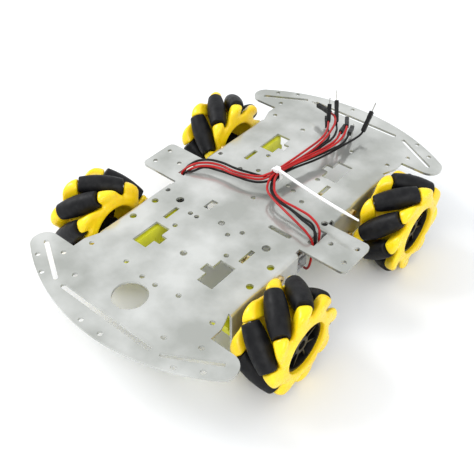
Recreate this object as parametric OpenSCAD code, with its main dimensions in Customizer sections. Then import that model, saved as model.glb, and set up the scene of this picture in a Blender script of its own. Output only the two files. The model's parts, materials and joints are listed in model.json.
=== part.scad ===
// Four wheel robot chassis: a bent aluminium plate on four geared motors with mecanum wheels.
// Origin on the ground under the middle of the plate. +X to the right side, +Y to the far end, +Z up.

/* [Plate] */
// Radius of the round ends of the plate, half of its length
plate_r = 122.2; // [120:0.1:126]
// Thickness of the sheet
plate_t = 1.5; // [1:0.1:2]
// Half of the width over the two side flanges
flange_x = 47.2; // [46.9:0.1:47.4]
// Depth of a side flange below the top face
flange_h = 25; // [24:0.5:30]
// Half of the width of the end wings
wing_x = 70.5; // [68:0.1:72]
// Distance from the middle to the inner edge of an end wing
wing_y = 87.9; // [87:0.1:90]
// Half of the width over the two side tabs
tab_x = 73.3; // [70:0.1:76]
// Half of the length of a side tab
tab_y = 13.2; // [12:0.1:15]
// Diameter of the large cable hole at the near end
cable_hole_d = 18.7; // [16:0.1:20]
// Diameter of the small screw holes
small_hole_d = 3; // [2.8:0.1:3.2]

/* [Wheels] */
// Distance from the middle of the chassis to each axle
axle_y = 54.5; // [54:0.1:55]
// Depth of the axles below the top face of the plate
axle_drop = 13.9; // [13.5:0.1:15]
// Distance from the middle of the chassis to the middle of a wheel's width
wheel_x = 67; // [66:0.1:68]
// Outer radius of a wheel, measured over its rollers
wheel_r = 28.6; // [28:0.1:30]
// Width of a wheel
wheel_w = 27.5; // [27:0.1:28.5]
// Number of rollers on a wheel
roller_n = 8; // [8:1:8]
// Distance from the wheel's axis to a roller's pin
roller_pitch_r = 22.6; // [22.4:0.1:23]
// Angle of a roller to the wheel's axis
roller_tilt = 45; // [44:0.5:46]
// Diameter of the steel roller pins
roller_pin_d = 2; // [1.8:0.1:2.2]

/* [Motors] */
// Diameter of the motor's output shaft
shaft_d = 5.4; // [5.2:0.1:5.5]
// Width over the two flats of the output shaft
shaft_flat_w = 3.7; // [3.6:0.1:3.9]
// Diameter of the motor mounting screws
screw_d = 3; // [2.8:0.1:3]

/* [Wires] */
// Diameter of a motor wire
wire_d = 1.4; // [1.2:0.1:1.4]

/* [Hidden] */
// Corner name, its side in X and Y, and how far its wheel is turned at rest
SIDES = [["near_left", -1, -1, 10], ["near_right", 1, -1, 26], ["far_left", -1, 1, 14], ["far_right", 1, 1, 19]];
$fn = 64;

cut = 1;              // how far a cutting body runs past a face
run_gap = 0.05;       // radial clearance of a running fit

// Plate
plate_z = wheel_r + axle_drop;
bend_r = 2.2;         // outer radius of the flange bend
flat_x = flange_x - bend_r;
flange_y0 = 17;       // a flange runs from here
flange_y1 = 71;       // to here, measured from the middle
neck_x = 48.6;        // half width of the neck between a flange and a wing
neck_y = 80.5;
tab_corner_r = 3.5;
wing_tip_r = 7.8;
wire_slot_x = 45;     // inner edge of the slot that the wires come through
wire_slot_w = 4.5;
wire_slot_l = 13;

// Geared motor, measured from the shaft's axis. Its length runs towards the middle of the chassis
box_w = 18.8;         // gearbox width, along the shaft
box_h = 22.5;         // gearbox height
box_end = 11.3;       // from the shaft to the closed end
box_in = 26;          // from the shaft to the end that holds the motor
box_x = flange_x - plate_t - box_w;
box_mid_x = box_x + box_w / 2;
can_w = 15.4;         // motor can over its flats
can_d = 20;           // motor can over its round sides
can_l = 25;
cap_l = 1.6;
cap_boss_d = 4;
lug_z = 5;            // solder lugs above and below the shaft's axis
strap_t = 0.9;
strap_w = 7;
mount_y = 20.5;       // from the shaft to the mounting screws
mount_z = 8.75;       // mounting screws above and below the shaft's axis
screw_head_d = 5.4;
screw_head_h = 1.9;
nut_w = 5.5;
nut_h = 2.4;
shaft_out_x = 54.6;   // outer end of the output shaft
gear_x = box_mid_x - 2;
gear_w = 5;
gear_tooth_n = 22;
gear_r = 8.2;
cavity_r = 9.2;

// Wheel, measured from the middle of its width
hub_open_r = 14.4;
barrel_r = 16.4;
disc_r = 20;
disc_w = 3;
lug_r = 4.2;
lug_trim_r = 27.4;
roller_half_angle = 19.4; // half of the angle of the wheel's rim that a roller covers
roller_steps = 5;
lug_gap = 0.3;
pin_grip = 2.2;           // how deep a pin sits in a lug
core_face_x = 11.6;       // outer face of the spoked core
core_r = hub_open_r - 0.05;
core_w = 8;
core_rim_w = 1.4;
core_web_w = 1.4;
core_boss_r = 5;
core_boss_in = wheel_x - flange_x - 1.4;
spoke_n = 8;
spoke_w = 1.2;

// Tie round the wires, and the crimp housings at their ends
tie_c = [3, 21.5, 8.5];
tie_in_x = 2.7;
tie_in_z = 2.4;
tie_strap_t = 1;
tie_w = 2.4;
tie_tail_l = 60;
tie_tip_l = 9;
housing_w = 2.54;
housing_l = 14;
contact_w = 0.64;
contact_l = 6.5;

// Wire routes from the motor's tail, up through the slot, through the tie and on to the housing.
// Heights are from the top face of the plate
RED_ROUTES = [
    [[-44.9, -6.7, -8.9], [-46.6, -6.4, -7.5], [-48, -5.4, -4.5], [-48.2, -4, -0.5], [-44.5, 0.5, 4], [-39, 5, 5.8],
     [-30.5, 8.5, 6.5], [-18, 9.2, 7], [-8.5, 11.9, 7.4], [-2.6, 14.8, 8.1], [-0.9, 17, 8.8], [0.8, 19.4, 9.6], [1.5, 21.5, 9.8],
     [2.6, 32, 10], [4.6, 50, 11.3], [5.2, 62, 12], [3.5, 70.5, 12], [-2.5, 82, 11]],
    [[-44.9, 6.7, -18.9], [-46.5, 5, -17], [-46.8, 0.5, -9], [-46.55, -1.7, -0.6], [-45.1, -0.7, 1], [-42.9, 0.6, 2.7],
     [-39, 3.6, 4.2],
     [-30, 7.6, 5], [-18, 8.5, 5.6], [-8.5, 10.9, 6.1], [-2, 13.6, 6.9], [0.8, 17.4, 8.1], [2.25, 21.5, 8.5],
     [3.3, 32, 8.6], [6.2, 50, 9.8], [7, 62, 11.6], [5.8, 71, 12.4], [0.5, 85, 12.4], [-7.5, 92, 10.4]],
    [[44.9, 6.7, -8.9], [46.4, 5, -8], [47.8, 2.5, -4.5], [48.3, 0.2, -0.5], [47, 1.5, 5], [40.5, 3.5, 8],
     [30, 4.4, 8.5], [20.5, 4.2, 9], [13, 7, 9], [8.5, 12, 9.5], [5.5, 17, 9.9], [4.5, 21.5, 9.8],
     [5.7, 32, 9.7], [9.7, 50, 8.9], [12.5, 62, 9.4], [13, 74, 10], [10, 83.5, 12]],
    [[44.9, -6.7, -18.9], [47.5, -8, -17], [49.5, -8.5, -11], [48.8, -6.8, -5], [47.3, -4.6, -0.5], [44, -5, 4.5],
     [36, -3, 6], [22, 1, 7], [13, 4, 7.5], [7.5, 7, 8], [4.5, 11.5, 8.7], [3, 16.5, 9.3], [3, 21.5, 9.8],
     [4.2, 32, 9.9], [8.3, 50, 9.5], [10.5, 62, 9.2], [11, 70, 9.4], [8.4, 79.5, 9]]
];
BLACK_ROUTES = [
    [[-44.9, 6.7, -8.9], [-46.4, 5, -8], [-48, 1, -4.5], [-48.2, -1.8, -0.5], [-45, 2.5, 4.5],
     [-39, 6.6, 7.1], [-30.5, 9.5, 8], [-18, 11, 8], [-9.5, 13.6, 7.6], [-4.6, 15.8, 6.9], [-1.2, 17.4, 6.8], [0.8, 19.2, 6.9],
     [1.5, 21.5, 7.2], [2.6, 32, 7.2], [5.4, 50, 7.6], [7.2, 62, 9.4], [6, 70, 9], [-3, 82, 7]],
    [[-44.9, -6.7, -18.9], [-46, -6.4, -17], [-46.2, -4.8, -9], [-46.6, -4.4, -1], [-45.4, -3.6, 0.95], [-43, -1.3, 1.1],
     [-38.5, 4.6, 2.8], [-30, 7.2, 3.4], [-18, 9, 4], [-8.5, 10.1, 4.7], [-2, 12.6, 5.3], [1.8, 16.4, 6.2],
     [3, 21.5, 7.2], [4.1, 32, 7], [6.9, 50, 8.2], [8.8, 62, 10.2], [9, 69, 10.2], [6.5, 77.5, 10], [-0.5, 88.5, 8]],
    [[44.9, -6.7, -8.9], [46.3, -5.4, -8], [47.6, -4, -4.5], [48.2, -3.2, -0.5], [47, -1.4, 3.5], [43, 0, 5],
     [35.5, 1.5, 5.5], [26, 3.5, 6.4], [17.5, 4.5, 6.5], [10.5, 7.5, 7], [6.4, 11.8, 7.4], [4.4, 16.6, 8.1],
     [3.75, 21.5, 8.5], [5, 32, 8.4], [9.3, 50, 7.2], [13, 62, 7.6], [15.4, 71, 8.4], [13, 82, 8.5]],
    [[44.9, 6.7, -18.9], [47, 5, -17], [48.6, 3, -11], [47.8, 0, -5], [47, -1.8, -0.5], [45.2, 0.2, 2.4],
     [42, 2.6, 4.3], [34, 4, 4.4], [26, 5.2, 4.8], [18, 6.2, 5.4], [11.5, 8.8, 5.8], [7.4, 12.8, 6],
     [5.1, 17, 6.6], [4.5, 21.5, 7.2], [5.7, 32, 6.9], [10.4, 52, 5.2], [14.2, 70, 5.4], [16.5, 93, 6]]
];
// Direction in which each housing points, one for each route
RED_AIMS = [[-0.52, 0.81, 0.27], [-0.94, 0.33, -0.11], [-0.51, 0.84, -0.2], [-0.3, 0.9, -0.25]];
BLACK_AIMS = [[-0.57, 0.81, -0.14], [-0.43, 0.53, 0.73], [-0.35, 0.88, -0.25], [-0.08, 0.75, 0.66]];

function unit(v) = v / norm(v);

// Half of a roller's outline: the curve that keeps its ground line on the wheel's outer radius
function roller_reach(a) = wheel_r - roller_pitch_r / cos(a);
function roller_station(a) = roller_pitch_r * tan(a) / sin(roller_tilt) + roller_reach(a) * sin(roller_tilt) * sin(a);
function roller_radius(a) = roller_reach(a) * sqrt(1 - pow(sin(roller_tilt) * sin(a), 2));
roller_half_l = roller_station(roller_half_angle);

// Puts a child that points along +Z at a place, pointing along v
module aim(place, v) {
    u = unit(v);
    translate(place) rotate([0, acos(u.z), atan2(u.y, u.x)]) children();
}

// Puts a child modelled at the far right corner at another corner
module corner(side) {
    mirror([side[1] < 0 ? 1 : 0, 0, 0]) mirror([0, side[2] < 0 ? 1 : 0, 0]) translate([0, axle_y, wheel_r]) children();
}

module on_plate() {
    translate([0, 0, plate_z]) children();
}

module each_corner() {
    for (s = SIDES) corner(s) children();
}

// A cylinder along +X that starts at x
module x_cylinder(x, r, l) {
    translate([x, 0, 0]) rotate([0, 90, 0]) cylinder(r = r, h = l);
}

// ---- Plate ----

module four_ways() {
    for (i = [0, 1]) for (j = [0, 1]) mirror([i, 0]) mirror([0, j]) children();
}

module both_ends() {
    for (j = [0, 1]) mirror([0, j]) children();
}

module wing_outline() {
    tip = [wing_x - wing_tip_r, wing_y + wing_tip_r];
    reach = 2;
    intersection() {
        circle(r = plate_r, $fn = 128);
        polygon([[tip.x, wing_y], tip, tip * reach, [-tip.x, tip.y] * reach, [-tip.x, tip.y], [-tip.x, wing_y]]);
    }
    for (i = [-1, 1]) translate([i * tip.x, tip.y]) circle(r = wing_tip_r);
    translate([-tip.x, wing_y]) square([2 * tip.x, wing_tip_r]);
}

module neck_outline() {
    polygon([[-flat_x, 0], [-flat_x, flange_y1], [-neck_x, neck_y], [-neck_x, wing_y + cut],
             [neck_x, wing_y + cut], [neck_x, neck_y], [flat_x, flange_y1], [flat_x, 0]]);
}

module tab_outline() {
    square([2 * (tab_x - tab_corner_r), 2 * tab_y], center = true);
    square([2 * tab_x, 2 * (tab_y - tab_corner_r)], center = true);
    four_ways() translate([tab_x - tab_corner_r, tab_y - tab_corner_r]) circle(r = tab_corner_r);
}

module round_slot(a, b, w) {
    along = b - a;
    translate(a) rotate(atan2(along.y, along.x)) {
        translate([0, -w / 2]) square([norm(along), w]);
        circle(d = w, $fn = 24);
        translate([norm(along), 0]) circle(d = w, $fn = 24);
    }
}

module holes_at(places, d) {
    for (p = places) translate(p) circle(d = d, $fn = 32);
}

// Slots for a bumper or a sensor bracket
module wing_cutouts() {
    slot_w = 3;
    both_ends() {
        round_slot([-30, 110.1], [30, 110.1], slot_w);
        for (i = [-1, 1]) round_slot([i * 37.6, 109], [i * 62.4, 95], 2.6);
    }
}

// Windows for a wheel encoder, with a notch for its sensor
module encoder_windows() {
    four_ways() {
        translate([18.4, 45.8]) square([10, 18.5]);
        translate([14.4, 52]) square([4 + cut, 5.8]);
    }
}

module plate_holes() {
    four_ways() holes_at([[58.2, 103.8], [46.4, 110.7], [6.7, 118.7], [48.8, 94.4], [42.8, 80.2], [18.6, 77.9],
                          [18.5, 41.6]], small_hole_d);
    holes_at([[-31.6, -101.2], [31.2, -101.2], [-4.6, -80.2], [4.6, -80.2], [8.6, -29], [13.8, -22.8], [-18.8, -28.8],
              [-14.2, -28.8], [-42.8, -22], [-23.6, 20.5], [-14, 26], [0, 26], [8.6, 26], [13.6, 24], [23.2, 19],
              [-0.4, 4.4], [-42.8, 24.5]], small_hole_d);
    holes_at([[0, -54.5], [0, -24], [43.7, 12], [-41.7, -33.7], [41.7, -33.7], [-41.8, -50.8], [41.8, -50.8]], 4);
    holes_at([[-31.2, -24], [31.2, -24]], 4.8);
    holes_at([[0, -93]], cable_hole_d);
    for (i = [-1, 1]) holes_at([[i * 55.4, 0.9], [i * 68.5, -6.4], [i * 68.5, 6.4]], small_hole_d);
}

module plate_slots() {
    four_ways() translate([25.9, 30]) square([2.8, 10.8]);
    translate([-17, -20]) square([4.4, 8]);
    round_slot([23, -9], [35, -9], 3);
    for (i = [-1, 1]) translate([i * (wire_slot_x + wire_slot_w / 2), 0])
        square([wire_slot_w, wire_slot_l], center = true);
}

// A flange bent down from the plate's edge, with holes for a motor's shaft and screws
module flange() {
    difference() {
        translate([0, flange_y1, plate_z]) rotate([90, 0, 0]) linear_extrude(flange_y1 - flange_y0) {
            translate([flange_x - plate_t, -flange_h]) square([plate_t, flange_h - bend_r]);
            translate([flat_x - cut, -plate_t]) square([cut, plate_t]);
            intersection() {
                translate([flat_x, -bend_r]) difference() {
                    circle(r = bend_r);
                    circle(r = bend_r - plate_t);
                }
                translate([flat_x, -bend_r]) square(bend_r);
            }
        }
        translate([0, axle_y, wheel_r]) {
            x_cylinder(flat_x, 4, bend_r + cut);
            for (k = [-1, 1]) translate([0, -mount_y, k * mount_z]) x_cylinder(flat_x, screw_d / 2 + 0.15, bend_r + cut);
        }
    }
}

module chassis_plate() color([0.78, 0.79, 0.8]) {
    translate([0, 0, plate_z - plate_t]) linear_extrude(plate_t) difference() {
        union() {
            both_ends() {
                wing_outline();
                neck_outline();
            }
            tab_outline();
        }
        wing_cutouts();
        encoder_windows();
        plate_holes();
        plate_slots();
    }
    for (i = [0, 1]) mirror([i, 0, 0]) for (j = [0, 1]) mirror([0, j, 0]) flange();
}

// ---- Geared motors, drawn at the far right corner with the shaft's axis through the origin ----

module mount_places() {
    for (k = [-1, 1]) translate([0, -mount_y, k * mount_z]) children();
}

module can_outline() {
    intersection() {
        circle(d = can_d);
        square([can_w, can_d], center = true);
    }
}

// Extrudes the can's outline towards the middle of the chassis
module can_body(from_y, l) {
    translate([box_mid_x, from_y, 0]) rotate([90, 0, 0]) linear_extrude(l) can_outline();
}

module gearbox_housing() {
    wall = 2;
    peg_y = -11;
    difference() {
        union() {
            translate([box_x, -box_in, -box_h / 2]) cube([box_w, box_in + box_end, box_h]);
            translate([box_x - 1, peg_y, 0]) rotate([0, 90, 0]) cylinder(d = 4, h = 1 + cut);
            translate([box_x + wall, box_end - cut, -1.5]) cube([box_w - 2 * wall, cut + 4.5, 3]);
        }
        x_cylinder(gear_x - 0.4, cavity_r, gear_w + 0.8);
        x_cylinder(box_x - 2 * cut, shaft_d / 2 + run_gap, box_w + 4 * cut);
        mount_places() x_cylinder(box_x - cut, screw_d / 2, box_w + 2 * cut);
        translate([box_x + box_w / 2, box_end + 2.2, -2]) cylinder(d = 2.4, h = 4);
        can_body(-box_in + 4, 4 + cut);
    }
}

module gearbox_housings() color([0.9, 0.88, 0.1]) each_corner() gearbox_housing();

module motor_cans() color([0.72, 0.72, 0.72]) each_corner() can_body(-box_in + 4, can_l);

module motor_end_cap() {
    tail_y = -box_in + 4 - can_l;
    can_body(tail_y, cap_l);
    translate([box_mid_x, tail_y - cap_l, 0]) rotate([90, 0, 0]) cylinder(d = cap_boss_d, h = strap_t);
    // the two solder lugs, on the outboard flat
    for (k = [-1, 1]) translate([box_mid_x + can_w / 2, tail_y - cap_l, k * lug_z - 0.9]) cube([0.2, cap_l, 1.8]);
}

module motor_end_caps() color([0.93, 0.93, 0.9]) each_corner() motor_end_cap();

// A strap that starts at the gearbox and runs along both flats of the can and round its tail
module motor_strap() {
    reach = can_l - 4 + cap_l;
    difference() {
        translate([box_mid_x - can_w / 2 - strap_t, -box_in - reach - strap_t, -strap_w / 2])
            cube([can_w + 2 * strap_t, reach + strap_t, strap_w]);
        translate([box_mid_x - can_w / 2, -box_in - reach, -strap_w])
            cube([can_w, reach + cut, 2 * strap_w]);
        translate([box_mid_x, -box_in - reach + cut, 0]) rotate([90, 0, 0]) cylinder(d = cap_boss_d, h = 2 * cut + strap_t);
    }
}

module motor_straps() color([0.9, 0.92, 0.92, 0.5]) each_corner() motor_strap();

module motor_screw() {
    shank_x = box_x - nut_h - 0.6;
    x_cylinder(shank_x, screw_d / 2, flange_x - shank_x);
    difference() {
        x_cylinder(flange_x, screw_head_d / 2, screw_head_h);
        for (a = [0, 90]) translate([flange_x + screw_head_h - 0.9, 0, 0]) rotate([a, 0, 0])
            translate([0, -1.6, -0.35]) cube([cut + 0.9, 3.2, 0.7]);
    }
}

module motor_screws() color([0.75, 0.62, 0.3]) each_corner() mount_places() motor_screw();

module motor_nut() {
    difference() {
        translate([box_x - nut_h, 0, 0]) rotate([0, 90, 0]) cylinder(d = nut_w / cos(30), h = nut_h, $fn = 6);
        x_cylinder(box_x - nut_h - cut, screw_d / 2, nut_h + 2 * cut);
    }
}

module motor_nuts() color([0.75, 0.62, 0.3]) each_corner() mount_places() motor_nut();

// ---- Wheels ----

module wheel_place(side) {
    corner(side) translate([wheel_x, 0, 0]) rotate([side[3], 0, 0]) children();
}

// Puts a child modelled along +Z on the pin axis of roller i
module roller_place(i) {
    rotate([(i - 1) * 360 / roller_n, 0, 0]) translate([0, 0, roller_pitch_r])
        rotate([0, 0, roller_tilt]) rotate([0, 90, 0]) children();
}

module roller_body() {
    points = [for (k = [-roller_steps : roller_steps]) let (a = k * roller_half_angle / roller_steps)
        [roller_radius(a), roller_station(a)]];
    difference() {
        rotate_extrude() polygon(concat([[0, -roller_half_l]], points, [[0, roller_half_l]]));
        translate([0, 0, -roller_half_l - cut])
            cylinder(d = roller_pin_d + 2 * run_gap, h = 2 * (roller_half_l + cut));
    }
}

module roller(side, i) color([0.1, 0.1, 0.11]) wheel_place(side) roller_place(i) roller_body();

// One rounded finger that holds the outer end of a roller's pin. It is a short round bar along
// the pin, with a web down to the barrel
module lug(end) {
    root = 10;
    mirror([0, 0, end > 0 ? 0 : 1]) translate([0, 0, roller_half_l + lug_gap]) linear_extrude(9) {
        circle(r = lug_r, $fn = 32);
        translate([0, -lug_r]) square([root, 2 * lug_r]);
    }
}

module wheel_hub_body() {
    difference() {
        union() {
            x_cylinder(-wheel_w / 2, barrel_r, wheel_w);
            for (i = [-1, 1]) x_cylinder(i > 0 ? wheel_w / 2 - disc_w : -wheel_w / 2, disc_r, disc_w);
            intersection() {
                for (i = [1 : roller_n]) roller_place(i) {
                    lug(1);
                    lug(-1);
                }
                x_cylinder(-wheel_w / 2, lug_trim_r, wheel_w, $fn = 128);
            }
        }
        x_cylinder(-wheel_w / 2 - cut, hub_open_r, wheel_w + 2 * cut);
        for (i = [1 : roller_n]) roller_place(i) translate([0, 0, -roller_half_l - lug_gap - pin_grip])
            cylinder(d = roller_pin_d, h = 2 * (roller_half_l + lug_gap + pin_grip));
    }
}

module wheel_hub(side) color([1, 0.82, 0.05]) wheel_place(side) wheel_hub_body();

module roller_pins(side) color([0.7, 0.7, 0.72]) wheel_place(side) {
    half_l = roller_half_l + lug_gap + pin_grip;
    for (i = [1 : roller_n]) roller_place(i) translate([0, 0, -half_l]) cylinder(d = roller_pin_d, h = 2 * half_l);
}

// The double-flatted outline of the output shaft
module shaft_outline() {
    intersection() {
        circle(d = shaft_d);
        square([shaft_flat_w, shaft_d], center = true);
    }
}

module hub_core_body() {
    difference() {
        union() {
            difference() {
                x_cylinder(core_face_x - core_w, core_r, core_w);
                x_cylinder(core_face_x - core_w + core_web_w, core_r - core_rim_w, core_w);
            }
            x_cylinder(-core_boss_in, core_boss_r, core_boss_in + core_face_x - 1);
            for (i = [0 : spoke_n - 1]) rotate([i * 360 / spoke_n, 0, 0])
                translate([core_face_x - core_w, core_boss_r - 0.5, -spoke_w / 2])
                    cube([core_w - 1.2, core_r - core_boss_r - 0.2, spoke_w]);
        }
        translate([-core_boss_in - cut, 0, 0]) rotate([0, 90, 0]) linear_extrude(core_boss_in + cut - 4) shaft_outline();
        x_cylinder(-5, 1.3, core_face_x + 5 + cut);
        x_cylinder(core_face_x - 4, 2.8, 4 + cut);
    }
}

module hub_core(side) color([0.08, 0.08, 0.09]) wheel_place(side) hub_core_body();

// The white output shaft with the last gear of the gearbox, in one moulding
module output_shaft(side) color([0.95, 0.95, 0.95]) corner(side) rotate([side[3], 0, 0]) {
    x_cylinder(box_x - 0.8, shaft_d / 2, flange_x + 0.6 - box_x + 0.8);
    translate([flange_x, 0, 0]) rotate([0, 90, 0]) linear_extrude(shaft_out_x - flange_x) shaft_outline();
    x_cylinder(gear_x, gear_r - 1, gear_w);
    for (i = [0 : gear_tooth_n - 1]) rotate([i * 360 / gear_tooth_n, 0, 0])
        translate([gear_x, gear_r - 1.5, -0.6]) cube([gear_w, 1.5, 1.2]);
}

// ---- Wires, tie and crimp housings ----

// Half way direction at point k of a route
function heading(route, k) = let (n = len(route))
    k == 0 ? unit(route[1] - route[0]) :
    k == n - 1 ? unit(route[n - 1] - route[n - 2]) :
    unit(unit(route[k] - route[k - 1]) + unit(route[k + 1] - route[k]));

// Turns the side vector s as little as possible so that it stands square to the heading
function square_to(s, h) = unit(s - (s * h) * h);
function first_side(h) = square_to(abs(h.z) < 0.8 ? [0, 0, 1] : [1, 0, 0], h);
function sides_of(route, k) = k == 0 ? [first_side(heading(route, 0))] :
    let (before = sides_of(route, k - 1)) concat(before, [square_to(before[k - 1], heading(route, k))]);

// A round tube of n sides along a route
module tube(route, d, n = 8) {
    rings = len(route);
    sides = sides_of(route, rings - 1);
    points = [for (k = [0 : rings - 1]) let (h = heading(route, k), s = sides[k], t = cross(h, s))
        for (i = [0 : n - 1]) route[k] + d / 2 * (cos(i * 360 / n) * s + sin(i * 360 / n) * t)];
    walls = [for (k = [0 : rings - 2]) for (i = [0 : n - 1]) let (j = (i + 1) % n)
        [k * n + i, (k + 1) * n + i, (k + 1) * n + j, k * n + j]];
    ends = [[for (i = [0 : n - 1]) i], [for (i = [n - 1 : -1 : 0]) (rings - 1) * n + i]];
    polyhedron(points, concat(walls, ends), convexity = 4);
}

module red_wires() color([0.8, 0.08, 0.08]) on_plate() for (r = RED_ROUTES) tube(r, wire_d);

module black_wires() color([0.07, 0.07, 0.07]) on_plate() for (r = BLACK_ROUTES) tube(r, wire_d);

module each_housing() {
    for (i = [0 : len(RED_ROUTES) - 1]) aim(RED_ROUTES[i][len(RED_ROUTES[i]) - 1], RED_AIMS[i]) children();
    for (i = [0 : len(BLACK_ROUTES) - 1]) aim(BLACK_ROUTES[i][len(BLACK_ROUTES[i]) - 1], BLACK_AIMS[i]) children();
}

module connector_housings() color([0.06, 0.06, 0.06]) on_plate() each_housing() difference() {
    translate([-housing_w / 2, -housing_w / 2, 0]) cube([housing_w, housing_w, housing_l]);
    translate([0, -housing_w / 2, housing_l * 0.55]) cube([1.2, 1, 2.6], center = true);
    translate([-contact_w / 2, -contact_w / 2, housing_l - 2]) cube([contact_w, contact_w, 2 + cut]);
}

module connector_pins() color([0.8, 0.78, 0.72]) on_plate() each_housing()
    translate([-contact_w / 2, -contact_w / 2, housing_l - 2]) cube([contact_w, contact_w, contact_l + 2]);

module tie_ring(grow) {
    rx = tie_in_x + grow;
    rz = tie_in_z + grow;
    square([2 * rx, 2 * (rz - 1)], center = true);
    square([2 * (rx - 1), 2 * rz], center = true);
    for (i = [-1, 1]) for (j = [-1, 1]) translate([i * (rx - 1), j * (rz - 1)]) circle(r = 1);
}

module cable_tie() color([0.95, 0.95, 0.95]) on_plate() translate(tie_c) {
    rotate([90, 0, 0]) translate([0, 0, -tie_w / 2]) linear_extrude(tie_w) difference() {
        tie_ring(tie_strap_t);
        tie_ring(0);
    }
    translate([-2.6, -2, tie_in_z]) cube([4.6, 4, 3]);
    translate([0, 0, tie_in_z + 1]) rotate([0, 0.3, -7.6]) linear_extrude(tie_strap_t)
        polygon([[0, -tie_w / 2], [tie_tail_l - tie_tip_l, -tie_w / 2], [tie_tail_l, -tie_w / 4],
                 [tie_tail_l, tie_w / 4], [tie_tail_l - tie_tip_l, tie_w / 2], [0, tie_w / 2]]);
}

chassis_plate();
gearbox_housings();
motor_cans();
motor_end_caps();
motor_straps();
motor_screws();
motor_nuts();
cable_tie();
connector_housings();
connector_pins();
red_wires();
black_wires();
for (s = SIDES) wheel_hub(s);
for (s = SIDES) hub_core(s);
for (s = SIDES) roller_pins(s);
for (s = SIDES) output_shaft(s);
for (s = SIDES) for (i = [1 : roller_n]) roller(s, i);
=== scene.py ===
"""Looks of the four wheel robot chassis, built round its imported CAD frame. All sizes are in metres."""

import json
import math

import bmesh
import bpy
import numpy as np
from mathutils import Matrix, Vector


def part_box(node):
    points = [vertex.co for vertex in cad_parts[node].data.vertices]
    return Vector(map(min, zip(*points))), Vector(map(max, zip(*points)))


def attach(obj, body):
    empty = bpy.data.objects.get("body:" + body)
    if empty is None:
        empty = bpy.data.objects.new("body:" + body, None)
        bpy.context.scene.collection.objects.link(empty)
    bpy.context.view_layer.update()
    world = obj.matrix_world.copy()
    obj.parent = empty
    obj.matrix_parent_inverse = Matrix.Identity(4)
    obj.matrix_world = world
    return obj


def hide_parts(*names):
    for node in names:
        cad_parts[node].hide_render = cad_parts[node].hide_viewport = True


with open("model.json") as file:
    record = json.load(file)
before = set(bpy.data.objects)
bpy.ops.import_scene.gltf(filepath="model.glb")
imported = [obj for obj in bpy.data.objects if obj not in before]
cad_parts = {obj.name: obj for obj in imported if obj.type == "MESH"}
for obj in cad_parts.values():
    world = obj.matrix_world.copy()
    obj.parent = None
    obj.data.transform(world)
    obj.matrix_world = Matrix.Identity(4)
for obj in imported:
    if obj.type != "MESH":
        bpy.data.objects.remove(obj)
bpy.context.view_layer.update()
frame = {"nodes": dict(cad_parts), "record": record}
NODES = frame["nodes"]
PLATE_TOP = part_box("chassis_plate")[1].z
ROLLERS = 8
# Corner name, its side in X and Y, and how far its wheel is turned at rest, in degrees
CORNERS = (
    ("near_left", -1, -1, 10),
    ("near_right", 1, -1, 26),
    ("far_left", -1, 1, 14),
    ("far_right", 1, 1, 19),
)

# Wheel hub, measured from the middle of the wheel, as in the CAD
WHEEL_W = 0.0275
PITCH_R = 0.0226
BARREL_R = 0.0164
DISC_R = 0.02
DISC_W = 0.003
OPEN_R = 0.0144
LUG_R = 0.0042
LUG_ROOT = 0.01
LUG_TRIM_R = 0.0274
LUG_START = 0.01265
TILT = math.radians(45)
HUB_GRID = 0.0006
# How far the hub's corners are rounded
LUG_END_BLEND = 0.0012
LUG_SIDE_BLEND = 0.0042
LUG_TIP_BLEND = 0.003
LUG_ROOT_BLEND = 0.0016
DISC_RIM_BLEND = 0.002
DISC_ROOT_BLEND = 0.002
BARREL_BLEND = 0.001
OPEN_BLEND = 0.0014

# Camera, from the middle of the plate's top face
CAMERA_PLACE = (0.1838, -0.2309, 0.2494)
CAMERA_AIM = (0.0137, -0.0271, 0)
CAMERA_LENS = 51.4

# Corners of a square section, in turn
SQUARE = ((-1, -1), (1, -1), (1, 1), (-1, 1))

# Wires
WIRE_D = 0.0014
WIRE_END_PULL = 0.0035
WIRE_END_PAST = 0.001
HOUSING_W = 0.00254
HOUSING_L = 0.014
# Height along a housing and the share of its width there, from its mouth past the latch window to its end
HOUSING_LEVELS = (
    (0, 0.42), (0.0002, 0.86), (0.0006, 0.96), (0.0012, 1), (0.0062, 1), (0.0066, 0.93),
    (0.0092, 0.93), (0.0096, 1), (HOUSING_L - 0.0004, 1), (HOUSING_L, 0.86),
)
CONTACT_W = 0.00064
CONTACT_L = 0.0065
CONTACT_ROOT = 0.002
CONTACT_TAPER_L = 0.001
CONTACT_TIP_SHARE = 0.35

# Cable tie, from the plate's top face
TIE_PLACE = (0.003, 0.0215, 0.0085)
TIE_IN_X = 0.0027
TIE_IN_Z = 0.0024
TIE_STRAP_T = 0.0009
TIE_OUT_CORNER_R = 0.0016
TIE_IN_CORNER_R = 0.0008
TIE_W = 0.0024
# Stations along the tie's head: place in X, half width and half height
TIE_HEAD = (
    (-0.0018, 0.0013, 0.0007),
    (-0.0014, 0.0017, 0.0011),
    (0.0012, 0.0018, 0.0013),
    (0.0018, 0.0015, 0.001),
)
TIE_TAIL_W = 0.0019
TIE_TAIL_START = 0.0012
TIE_TAIL_L = 0.06
TIE_TAIL_STEPS = 60
TIE_TAIL_LIFT = 0.0001
TIE_TAIL_SAG = 0.0011
TIE_TAIL_HALF_T = 0.00042
TIE_TAIL_RIB = 0.00005
# The share of the tail at which it starts to narrow, and how much of its width its tip has lost
TIE_TAPER_FROM = 0.8
TIE_TAPER = 0.55
TIE_TURN_FROM = 0.0025
TIE_TAIL_TURN = math.radians(7.6)

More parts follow.
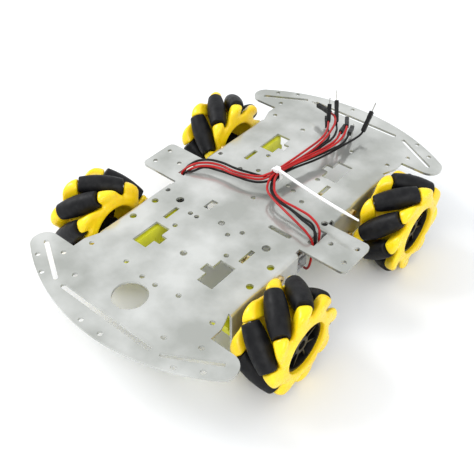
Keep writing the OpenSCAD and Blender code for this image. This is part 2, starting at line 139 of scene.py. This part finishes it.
# Rounded edges of the moulded and turned pieces
WELD_GAP = 0.000002
BEVEL_SEGMENTS = 2
BEVEL_ANGLE = math.radians(32)
HOUSING_EDGE = 0.00012
TIE_EDGE = 0.00015
ROLLER_EDGE = 0.0005
CORE_EDGE = 0.0002
SHAFT_EDGE = 0.0002
SHARED_NODE_EDGES = {
    "gearbox_housings": 0.0004,
    "motor_cans": 0.0004,
    "motor_end_caps": 0.00015,
    "motor_straps": 0.00015,
    "motor_screws": 0.00025,
    "motor_nuts": 0.0002,
}

FLOOR_W = 8

# Routes from the motor's lug to the crimp housing, with heights from the plate's top face
RED_ROUTES = (
    ((-0.0449, -0.0067, -0.0089), (-0.0466, -0.0064, -0.0075), (-0.048, -0.0054, -0.0045),
     (-0.0482, -0.004, -0.0005), (-0.0445, 0.0005, 0.004), (-0.039, 0.005, 0.0058),
     (-0.0305, 0.0085, 0.0065), (-0.018, 0.0092, 0.007), (-0.0085, 0.0119, 0.0074),
     (-0.0026, 0.0148, 0.0081), (-0.0009, 0.017, 0.0088), (0.0008, 0.0194, 0.0096),
     (0.0015, 0.0215, 0.0098), (0.0026, 0.032, 0.01), (0.0046, 0.05, 0.0113), (0.0052, 0.062, 0.012),
     (0.0035, 0.0705, 0.012), (-0.0025, 0.082, 0.011)),
    ((-0.0449, 0.0067, -0.0189), (-0.0465, 0.005, -0.017), (-0.0468, 0.0005, -0.009),
     (-0.04655, -0.0017, -0.0006), (-0.0451, -0.0007, 0.001), (-0.0429, 0.0006, 0.0027),
     (-0.039, 0.0036, 0.0042), (-0.03, 0.0076, 0.005), (-0.018, 0.0085, 0.0056), (-0.0085, 0.0109, 0.0061),
     (-0.002, 0.0136, 0.0069), (0.0008, 0.0174, 0.0081), (0.00225, 0.0215, 0.0085),
     (0.0033, 0.032, 0.0086), (0.0062, 0.05, 0.0098), (0.007, 0.062, 0.0116), (0.0058, 0.071, 0.0124),
     (0.0005, 0.085, 0.0124), (-0.0075, 0.092, 0.0104)),
    ((0.0449, 0.0067, -0.0089), (0.0464, 0.005, -0.008), (0.0478, 0.0025, -0.0045),
     (0.0483, 0.0002, -0.0005), (0.047, 0.0015, 0.005), (0.0405, 0.0035, 0.008), (0.03, 0.0044, 0.0085),
     (0.0205, 0.0042, 0.009), (0.013, 0.007, 0.009), (0.0085, 0.012, 0.0095), (0.0055, 0.017, 0.0099),
     (0.0045, 0.0215, 0.0098), (0.0057, 0.032, 0.0097), (0.0097, 0.05, 0.0089), (0.0125, 0.062, 0.0094),
     (0.013, 0.074, 0.01), (0.01, 0.0835, 0.012)),
    ((0.0449, -0.0067, -0.0189), (0.0475, -0.008, -0.017), (0.0495, -0.0085, -0.011),
     (0.0488, -0.0068, -0.005), (0.0473, -0.0046, -0.0005), (0.044, -0.005, 0.0045),
     (0.036, -0.003, 0.006), (0.022, 0.001, 0.007), (0.013, 0.004, 0.0075), (0.0075, 0.007, 0.008),
     (0.0045, 0.0115, 0.0087), (0.003, 0.0165, 0.0093), (0.003, 0.0215, 0.0098), (0.0042, 0.032, 0.0099),
     (0.0083, 0.05, 0.0095), (0.0105, 0.062, 0.0092), (0.011, 0.07, 0.0094), (0.0084, 0.0795, 0.009)),
)
BLACK_ROUTES = (
    ((-0.0449, 0.0067, -0.0089), (-0.0464, 0.005, -0.008), (-0.048, 0.001, -0.0045),
     (-0.0482, -0.0018, -0.0005), (-0.045, 0.0025, 0.0045), (-0.039, 0.0066, 0.0071),
     (-0.0305, 0.0095, 0.008), (-0.018, 0.011, 0.008), (-0.0095, 0.0136, 0.0076),
     (-0.0046, 0.0158, 0.0069), (-0.0012, 0.0174, 0.0068), (0.0008, 0.0192, 0.0069),
     (0.0015, 0.0215, 0.0072), (0.0026, 0.032, 0.0072), (0.0054, 0.05, 0.0076), (0.0072, 0.062, 0.0094),
     (0.006, 0.07, 0.009), (-0.003, 0.082, 0.007)),
    ((-0.0449, -0.0067, -0.0189), (-0.046, -0.0064, -0.017), (-0.0462, -0.0048, -0.009),
     (-0.0466, -0.0044, -0.001), (-0.0454, -0.0036, 0.00095), (-0.043, -0.0013, 0.0011),
     (-0.0385, 0.0046, 0.0028), (-0.03, 0.0072, 0.0034), (-0.018, 0.009, 0.004), (-0.0085, 0.0101, 0.0047),
     (-0.002, 0.0126, 0.0053), (0.0018, 0.0164, 0.0062), (0.003, 0.0215, 0.0072), (0.0041, 0.032, 0.007),
     (0.0069, 0.05, 0.0082), (0.0088, 0.062, 0.0102), (0.009, 0.069, 0.0102), (0.0065, 0.0775, 0.01),
     (-0.0005, 0.0885, 0.008)),
    ((0.0449, -0.0067, -0.0089), (0.0463, -0.0054, -0.008), (0.0476, -0.004, -0.0045),
     (0.0482, -0.0032, -0.0005), (0.047, -0.0014, 0.0035), (0.043, 0, 0.005), (0.0355, 0.0015, 0.0055),
     (0.026, 0.0035, 0.0064), (0.0175, 0.0045, 0.0065), (0.0105, 0.0075, 0.007), (0.0064, 0.0118, 0.0074),
     (0.0044, 0.0166, 0.0081), (0.00375, 0.0215, 0.0085), (0.005, 0.032, 0.0084), (0.0093, 0.05, 0.0072),
     (0.013, 0.062, 0.0076), (0.0154, 0.071, 0.0084), (0.013, 0.082, 0.0085)),
    ((0.0449, 0.0067, -0.0189), (0.047, 0.005, -0.017), (0.0486, 0.003, -0.011), (0.0478, 0, -0.005),
     (0.047, -0.0018, -0.0005), (0.0452, 0.0002, 0.0024), (0.042, 0.0026, 0.0043), (0.034, 0.004, 0.0044),
     (0.026, 0.0052, 0.0048), (0.018, 0.0062, 0.0054), (0.0115, 0.0088, 0.0058), (0.0074, 0.0128, 0.006),
     (0.0051, 0.017, 0.0066), (0.0045, 0.0215, 0.0072), (0.0057, 0.032, 0.0069), (0.0104, 0.052, 0.0052),
     (0.0142, 0.07, 0.0054), (0.0165, 0.093, 0.006)),
)
# Direction in which each housing points, one for each route
RED_AIMS = ((-0.52, 0.81, 0.27), (-0.94, 0.33, -0.11), (-0.51, 0.84, -0.2), (-0.3, 0.9, -0.25))
BLACK_AIMS = ((-0.57, 0.81, -0.14), (-0.43, 0.53, 0.73), (-0.35, 0.88, -0.25), (-0.08, 0.75, 0.66))


# ---- Materials ----

class Finish:
    """A principled material with colour, roughness and bump from noise in the piece's own coordinates."""

    def __init__(self, name):
        self.material = bpy.data.materials.new(name)
        self.material.use_nodes = True
        self.nodes = self.material.node_tree.nodes
        self.links = self.material.node_tree.links
        self.shader = self.nodes["Principled BSDF"]
        self.place = self.nodes.new("ShaderNodeTexCoord").outputs["Object"]

    def set(self, **values):
        for socket, value in values.items():
            self.shader.inputs[socket.replace("_", " ")].default_value = value

    def noise(self, size, detail=4, stretch=(1, 1, 1)):
        """Noise whose blobs are about size metres across, longer along the axes with a small stretch."""
        scaled = self.nodes.new("ShaderNodeMapping")
        scaled.inputs["Scale"].default_value = [s / size for s in stretch]
        self.links.new(self.place, scaled.inputs["Vector"])
        noise = self.nodes.new("ShaderNodeTexNoise")
        noise.inputs["Scale"].default_value = 1
        noise.inputs["Detail"].default_value = detail
        self.links.new(scaled.outputs["Vector"], noise.inputs["Vector"])
        return noise.outputs["Fac"]

    def spread(self, value, low, high, out_low, out_high):
        """Maps low..high of a value to out_low..out_high."""
        node = self.nodes.new("ShaderNodeMapRange")
        limits = {"From Min": low, "From Max": high, "To Min": out_low, "To Max": out_high}
        for socket, number in limits.items():
            node.inputs[socket].default_value = number
        self.links.new(value, node.inputs["Value"])
        return node.outputs["Result"]

    def colour(self, value, dark, light, low=0.35, high=0.65):
        ramp = self.nodes.new("ShaderNodeValToRGB")
        first, last = ramp.color_ramp.elements
        first.position, last.position = low, high
        first.color, last.color = (*dark, 1), (*light, 1)
        self.links.new(value, ramp.inputs["Fac"])
        self.links.new(ramp.outputs["Color"], self.shader.inputs["Base Color"])

    def roughness(self, value, smooth, rough):
        self.links.new(self.spread(value, 0.3, 0.7, smooth, rough), self.shader.inputs["Roughness"])

    def bump(self, *layers):
        """Layers are (noise, depth in metres), laid one on another."""
        below = None
        for value, depth in layers:
            node = self.nodes.new("ShaderNodeBump")
            node.inputs["Distance"].default_value = depth
            self.links.new(value, node.inputs["Height"])
            if below:
                self.links.new(below, node.inputs["Normal"])
            below = node.outputs["Normal"]
        self.links.new(below, self.shader.inputs["Normal"])


def sheet_aluminium():
    """Mill-finish sheet: cloudy patches, faint rolling lines along the sheet and a slight wave."""
    finish = Finish("sheet_aluminium")
    finish.set(Metallic=0.5)
    clouds = finish.noise(0.03, 6)
    finish.colour(clouds, (0.39, 0.4, 0.37), (0.64, 0.645, 0.62))
    finish.roughness(finish.noise(0.012, 5), 0.09, 0.22)
    rolling = finish.noise(0.0006, 2, (1, 0.02, 1))
    finish.bump((finish.noise(0.02, 2), 0.0005), (rolling, 0.000006))
    return finish.material


def plastic(name, dark, light, smooth=0.25, rough=0.4, grain=0.0008, depth=0.00003, shine=0.5):
    finish = Finish(name)
    finish.set(Specular_IOR_Level=shine)
    finish.colour(finish.noise(0.01, 3), dark, light)
    finish.roughness(finish.noise(0.004, 4), smooth, rough)
    finish.bump((finish.noise(grain, 2), depth))
    return finish


def wheel_yellow():
    finish = plastic("wheel_yellow", (0.95, 0.62, 0.005), (1, 0.73, 0.01), 0.22, 0.36)
    finish.set(Subsurface_Weight=0.12, Subsurface_Radius=(0.004, 0.002, 0.0005), Subsurface_Scale=1)
    return finish.material


def roller_rubber():
    """Dull rubber with faint moulding lines and a little pale dust."""
    finish = Finish("roller_rubber")
    finish.colour(finish.noise(0.004, 5), (0.003, 0.003, 0.004), (0.012, 0.012, 0.013), 0.4, 0.75)
    finish.roughness(finish.noise(0.003, 4), 0.42, 0.62)
    finish.set(Specular_IOR_Level=0.22)
    finish.bump((finish.noise(0.0006, 3), 0.00006))
    return finish.material


def metal(name, dark, light, smooth=0.2, rough=0.42, size=0.002):
    finish = Finish(name)
    finish.set(Metallic=1)
    finish.colour(finish.noise(size, 4), dark, light)
    finish.roughness(finish.noise(size / 2, 3), smooth, rough)
    finish.bump((finish.noise(size / 4, 2), 0.00001))
    return finish.material


def clear_strap():
    finish = plastic("strap_clear", (0.75, 0.78, 0.78), (0.85, 0.88, 0.88), 0.1, 0.2)
    finish.set(Transmission_Weight=0.7, IOR=1.5)
    return finish.material


def nylon(name, dark, light):
    finish = plastic(name, dark, light, 0.3, 0.45)
    finish.set(Subsurface_Weight=0.2, Subsurface_Radius=(0.002, 0.002, 0.002), Subsurface_Scale=1)
    return finish.material


def floor_paper():
    finish = Finish("floor_paper")
    finish.colour(finish.noise(0.2, 3), (0.86, 0.865, 0.875), (0.88, 0.885, 0.895))
    finish.roughness(finish.noise(0.05, 2), 0.85, 0.95)
    finish.set(Specular_IOR_Level=0.1)
    return finish.material


MATERIALS = {
    "sheet_aluminium": sheet_aluminium(),
    "gearbox_yellow": plastic("gearbox_yellow", (0.66, 0.66, 0.02), (0.78, 0.77, 0.04)).material,
    "motor_steel": metal("motor_steel", (0.5, 0.5, 0.5), (0.68, 0.68, 0.67), size=0.006),
    "cap_nylon": nylon("cap_nylon", (0.7, 0.7, 0.64), (0.8, 0.8, 0.75)),
    "strap_clear": clear_strap(),
    "screw_brass": metal("screw_brass", (0.55, 0.4, 0.16), (0.78, 0.62, 0.32)),
    "tie_white": nylon("tie_white", (0.86, 0.86, 0.86), (0.93, 0.93, 0.93)),
    "housing_black": plastic("housing_black", (0.002, 0.002, 0.002), (0.006, 0.006, 0.006),
                             0.3, 0.5, shine=0.2).material,
    "pin_steel": metal("pin_steel", (0.34, 0.33, 0.3), (0.5, 0.49, 0.45)),
    "wire_red": plastic("wire_red", (0.32, 0.004, 0.005), (0.46, 0.008, 0.008),
                        0.3, 0.45, shine=0.35).material,
    "wire_black": plastic("wire_black", (0.002, 0.002, 0.002), (0.006, 0.005, 0.005),
                          0.3, 0.5, shine=0.25).material,
    "wheel_yellow": wheel_yellow(),
    "core_black": plastic("core_black", (0.002, 0.002, 0.002), (0.006, 0.006, 0.006),
                          0.25, 0.45, shine=0.2).material,
    "shaft_nylon": nylon("shaft_nylon", (0.75, 0.75, 0.72), (0.88, 0.88, 0.85)),
    "roller_rubber": roller_rubber(),
}


def paint(piece, slot):
    piece.data.materials.clear()
    piece.data.materials.append(MATERIALS[slot])


# ---- Camera ----

def make_camera():
    camera = bpy.data.objects.new("camera", bpy.data.cameras.new("camera"))
    bpy.context.scene.collection.objects.link(camera)
    plate = Vector((0, 0, PLATE_TOP))
    camera.location = plate + Vector(CAMERA_PLACE)
    look = plate + Vector(CAMERA_AIM) - camera.location
    camera.rotation_mode = "QUATERNION"
    camera.rotation_quaternion = look.to_track_quat("-Z", "Y")
    camera.data.sensor_width = 36
    camera.data.lens = CAMERA_LENS
    camera.data.clip_start = 0.01
    bpy.context.scene.camera = camera


make_camera()


# ---- Wires and their crimp housings ----

def on_plate(point):
    return Vector(point) + Vector((0, 0, PLATE_TOP))


def add_object(name, data):
    piece = bpy.data.objects.new(name, data)
    bpy.context.scene.collection.objects.link(piece)
    return piece


def join_rings(mesh, rings):
    """Faces between each ring of vertices and the next."""
    for low, high in zip(rings, rings[1:]):
        for i in range(len(low)):
            j = (i + 1) % len(low)
            mesh.faces.new((low[i], low[j], high[j], high[i]))


def close_ends(mesh, rings):
    mesh.faces.new(reversed(rings[0]))
    mesh.faces.new(rings[-1])


def finished_mesh(mesh, name):
    data = bpy.data.meshes.new(name)
    mesh.to_mesh(data)
    mesh.free()
    return data


def square_bar(name, stations):
    """A closed square bar along +Z through stations of (height, half width)."""
    mesh = bmesh.new()
    rings = [[mesh.verts.new((x * half, y * half, z)) for x, y in SQUARE] for z, half in stations]
    join_rings(mesh, rings)
    close_ends(mesh, rings)
    return finished_mesh(mesh, name)


def housing_mesh(name):
    """A crimp housing: a square sleeve with a band where its latch sits and a small mouth for the wire."""
    return square_bar(name, [(z, HOUSING_W / 2 * share) for z, share in HOUSING_LEVELS])


def contact_mesh(name):
    """A square contact pin that tapers at its end."""
    half = CONTACT_W / 2
    return square_bar(name, ((-CONTACT_ROOT, half), (CONTACT_L - CONTACT_TAPER_L, half),
                             (CONTACT_L, half * CONTACT_TIP_SHARE)))


def add_bevel(piece, width):
    bevel = piece.modifiers.new("bevel", "BEVEL")
    bevel.width = width
    bevel.segments = BEVEL_SEGMENTS
    bevel.limit_method = "ANGLE"
    bevel.angle_limit = BEVEL_ANGLE
    bevel.harden_normals = True


def add_wire(name, colour, points, aim):
    """A wire on one smooth curve, with its housing and contact at the end."""
    curve = bpy.data.curves.new(name, "CURVE")
    curve.dimensions = "3D"
    curve.bevel_depth = WIRE_D / 2
    curve.bevel_resolution = 4
    curve.resolution_u = 8
    curve.use_fill_caps = True
    spline = curve.splines.new("BEZIER")
    spline.bezier_points.add(len(points) - 1)
    for knot, point in zip(spline.bezier_points, points):
        knot.co = point
        knot.handle_left_type = knot.handle_right_type = "AUTO"
    last = spline.bezier_points[-1]
    last.handle_left_type = last.handle_right_type = "FREE"
    last.handle_left = points[-1] - aim * WIRE_END_PULL
    last.handle_right = points[-1] + aim * WIRE_END_PAST
    wire = add_object(name, curve)
    paint(wire, "wire_" + colour)
    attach(wire, "chassis")
    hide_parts(colour + "_wires")

    turn = aim.to_track_quat("Z", "Y")
    housing = add_object(name + "_housing", housing_mesh(name + "_housing"))
    add_bevel(housing, HOUSING_EDGE)
    paint(housing, "housing_black")
    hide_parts("connector_housings")
    contact = add_object(name + "_contact", contact_mesh(name + "_contact"))
    paint(contact, "pin_steel")
    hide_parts("connector_pins")
    for piece, along in ((housing, 0), (contact, HOUSING_L)):
        piece.location = points[-1] + aim * along
        piece.rotation_mode = "QUATERNION"
        piece.rotation_quaternion = turn
        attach(piece, "chassis")


for colour, routes, aims in (("red", RED_ROUTES, RED_AIMS), ("black", BLACK_ROUTES, BLACK_AIMS)):
    for number, (route, aim) in enumerate(zip(routes, aims), 1):
        add_wire(f"{colour}_wire_{number}", colour, [on_plate(p) for p in route], Vector(aim).normalized())


# ---- CAD pieces: softer edges and finishes ----

def soften(node, width):
    """Rounds a CAD piece's edges a little, so that they catch the light."""
    weld = NODES[node].modifiers.new("weld", "WELD")
    weld.merge_threshold = WELD_GAP
    add_bevel(NODES[node], width)


# ---- Cable tie ----

def tie_loop(half_x, half_z, corner_r, steps=5):
    """Points of a rounded rectangle in the XZ plane, anticlockwise."""
    points = []
    for quarter, (sx, sz) in enumerate(((1, 1), (-1, 1), (-1, -1), (1, -1))):
        for k in range(steps + 1):
            angle = (quarter + k / steps) * math.pi / 2
            points.append((sx * (half_x - corner_r) + corner_r * math.cos(angle),
                           sz * (half_z - corner_r) + corner_r * math.sin(angle)))
    return points


def tie_bar(mesh, stations):
    """A closed bar along X through stations of (x, middle z, half width, half height)."""
    rings = [[mesh.verts.new((x, sy * w, z + sz * h)) for sy, sz in SQUARE] for x, z, w, h in stations]
    join_rings(mesh, rings)
    close_ends(mesh, rings)


def tail_stations(head_z):
    """Stations of the tail, which is ribbed, sags between its ends and narrows at its tip."""
    stations = []
    for k in range(TIE_TAIL_STEPS + 1):
        share = k / TIE_TAIL_STEPS
        x = TIE_TAIL_START + share * (TIE_TAIL_L - TIE_TAIL_START)
        z = head_z + TIE_TAIL_LIFT - TIE_TAIL_SAG * math.sin(math.pi * share)
        narrow = 1 - TIE_TAPER * max(0, share - TIE_TAPER_FROM) / (1 - TIE_TAPER_FROM)
        rib = TIE_TAIL_RIB * (k % 2)
        stations.append((x, z, TIE_TAIL_W / 2 * narrow, TIE_TAIL_HALF_T + rib))
    return stations


def add_tie():
    """The strap round the wires, with its head on top and its long tail."""
    mesh = bmesh.new()
    half_w = TIE_W / 2
    outer = tie_loop(TIE_IN_X + TIE_STRAP_T, TIE_IN_Z + TIE_STRAP_T, TIE_OUT_CORNER_R)
    inner = tie_loop(TIE_IN_X, TIE_IN_Z, TIE_IN_CORNER_R)
    rings = [[mesh.verts.new((x, y, z)) for x, z in loop]
             for loop, y in ((inner, -half_w), (outer, -half_w), (outer, half_w), (inner, half_w))]
    join_rings(mesh, rings + rings[:1])
    head_z = TIE_IN_Z + TIE_STRAP_T
    tie_bar(mesh, [(x, head_z, w, h) for x, w, h in TIE_HEAD])
    tie_bar(mesh, tail_stations(head_z))
    bmesh.ops.recalc_face_normals(mesh, faces=mesh.faces)
    data = finished_mesh(mesh, "tie")
    for vertex in data.vertices:
        if vertex.co.x > TIE_TURN_FROM:
            vertex.co.y -= (vertex.co.x - TIE_TURN_FROM) * math.tan(TIE_TAIL_TURN)
    tie = add_object("tie", data)
    tie.location = on_plate(TIE_PLACE)
    add_bevel(tie, TIE_EDGE)
    paint(tie, "tie_white")
    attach(tie, "chassis")
    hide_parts("cable_tie")


# ---- Wheel hubs: one moulding, drawn as a smooth field of distances and meshed ----

def smooth_max(a, b, blend):
    """The larger of two distances, with the corner between them rounded."""
    near = np.clip(blend - np.abs(a - b), 0, None) / blend
    return np.maximum(a, b) + near * near * blend / 4


def smooth_min(a, b, blend):
    return -smooth_max(-a, -b, blend)


def lug_field(x, y, z, turn, end):
    """Distance to the rounded finger that holds one end of the roller at this turn round the wheel."""
    up = y * -math.sin(turn) + z * math.cos(turn) - PITCH_R
    side = y * math.cos(turn) + z * math.sin(turn)
    along = (x * math.cos(TILT) + side * math.sin(TILT)) * end
    across = side * math.cos(TILT) - x * math.sin(TILT)
    past_bar = np.maximum(up, 0) + np.minimum(up + LUG_ROOT, 0)
    bar = np.hypot(across, past_bar) - LUG_R
    return smooth_max(bar, LUG_START - along, LUG_END_BLEND)


def hub_field():
    """Distances from the hub's surface on a grid, negative inside, with the grid's corner."""
    reach_x = WHEEL_W / 2 + 3 * HUB_GRID
    reach_r = LUG_TRIM_R + 3 * HUB_GRID
    x, y, z = np.meshgrid(*(np.arange(-reach, reach, HUB_GRID, dtype=np.float32)
                            for reach in (reach_x, reach_r, reach_r)), indexing="ij")
    r = np.hypot(y, z)
    width = np.abs(x) - WHEEL_W / 2
    lugs = np.full_like(x, 1)
    for i in range(ROLLERS):
        for end in (1, -1):
            lugs = np.minimum(lugs, lug_field(x, y, z, i * math.tau / ROLLERS, end))
    lugs = smooth_max(smooth_max(lugs, width, LUG_SIDE_BLEND), r - LUG_TRIM_R, LUG_TIP_BLEND)
    discs = smooth_max(smooth_max(r - DISC_R, width, DISC_RIM_BLEND), -width - DISC_W, BARREL_BLEND)
    barrel = smooth_max(r - BARREL_R, width, BARREL_BLEND)
    hub = smooth_min(smooth_min(discs, barrel, DISC_ROOT_BLEND), lugs, LUG_ROOT_BLEND)
    return smooth_max(hub, OPEN_R - r, OPEN_BLEND), np.array((-reach_x, -reach_r, -reach_r))


def surface_net(field, corner):
    """Vertices and quads of the surface where a field on a grid is zero."""
    cells = np.array(field.shape) - 1
    total = np.zeros((*cells, 3))
    count = np.zeros(cells)
    inside = field < 0
    quads = []
    for axis in range(3):
        low = np.moveaxis(field, axis, 0)[:-1]
        high = np.moveaxis(field, axis, 0)[1:]
        here, there = np.moveaxis(inside, axis, 0)[:-1], np.moveaxis(inside, axis, 0)[1:]
        cut = np.argwhere(here != there)
        a, b = low[tuple(cut.T)], high[tuple(cut.T)]
        place = cut.astype(float)
        place[:, 0] += a / (a - b)
        order = [1, 2]
        order.insert(axis, 0)
        place, cut_cell = place[:, order], cut[:, order]
        others = [k for k in range(3) if k != axis]
        around = []
        for back_a, back_b in ((0, 0), (1, 0), (1, 1), (0, 1)):
            cell = cut_cell.copy()
            cell[:, others[0]] -= back_a
            cell[:, others[1]] -= back_b
            np.add.at(total, tuple(cell.T), place)
            np.add.at(count, tuple(cell.T), 1)
            around.append(np.ravel_multi_index(tuple(cell.T), cells))
        quad = np.stack(around, 1)
        flip = (a > b) != (axis == 1)
        quad[flip] = quad[flip][:, ::-1]
        quads.append(quad)
    used = np.flatnonzero(count)
    number = np.zeros(count.size, int)
    number[used] = np.arange(len(used))
    points = total.reshape(-1, 3)[used] / count.reshape(-1, 1)[used]
    return corner + points * HUB_GRID, number[np.concatenate(quads)]


def add_hub(corner, side_x, side_y, phase, points, quads):
    """Sets the meshed hub in its corner, in place of the CAD hub."""
    low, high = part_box("wheel_hub_" + corner)
    turn = math.radians(phase)
    y = points[:, 1] * math.cos(turn) - points[:, 2] * math.sin(turn)
    z = points[:, 1] * math.sin(turn) + points[:, 2] * math.cos(turn)
    placed = np.stack((points[:, 0] * side_x, y * side_y, z), 1)
    if side_x * side_y < 0:
        quads = quads[:, ::-1]
    data = bpy.data.meshes.new("hub_" + corner)
    data.from_pydata(placed.tolist(), [], quads.tolist())
    data.shade_smooth()
    hub = add_object("hub_" + corner, data)
    hub.location = (low + high) / 2
    paint(hub, "wheel_yellow")
    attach(hub, "wheel_" + corner)
    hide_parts("wheel_hub_" + corner)


for subpart in frame["record"]["subparts"]:
    paint(NODES[subpart["node"]], subpart["material_slot"])

for node, width in SHARED_NODE_EDGES.items():
    soften(node, width)
add_tie()
hub_shape = surface_net(*hub_field())
for corner, side_x, side_y, phase in CORNERS:
    add_hub(corner, side_x, side_y, phase, *hub_shape)
    soften("hub_core_" + corner, CORE_EDGE)
    soften("output_shaft_" + corner, SHAFT_EDGE)
    for i in range(1, ROLLERS + 1):
        soften(f"roller_{corner}_{i}", ROLLER_EDGE)


# ---- Floor and light ----

def add_floor():
    bpy.ops.mesh.primitive_plane_add(size=FLOOR_W, location=(0, 0, 0))
    floor = bpy.context.object
    floor.name = "floor"
    floor.data.materials.append(floor_paper())


def add_light(name, place, size, power):
    light = bpy.data.lights.new(name, "AREA")
    light.shape = "DISK"
    light.size = size
    light.energy = power
    lamp = add_object(name, light)
    lamp.location = place
    lamp.rotation_mode = "QUATERNION"
    lamp.rotation_quaternion = (-Vector(place)).to_track_quat("-Z", "Y")


def add_world():
    world = bpy.data.worlds.new("studio")
    world.use_nodes = True
    background = world.node_tree.nodes["Background"]
    background.inputs["Color"].default_value = (0.96, 0.98, 1, 1)
    background.inputs["Strength"].default_value = 1
    bpy.context.scene.world = world


add_floor()
add_world()
add_light("key", (-0.95, -0.35, 1.0), size=0.6, power=9)
add_light("fill", (0.9, -0.5, 0.9), size=0.6, power=5)
bpy.context.scene.view_settings.view_transform = "Standard"
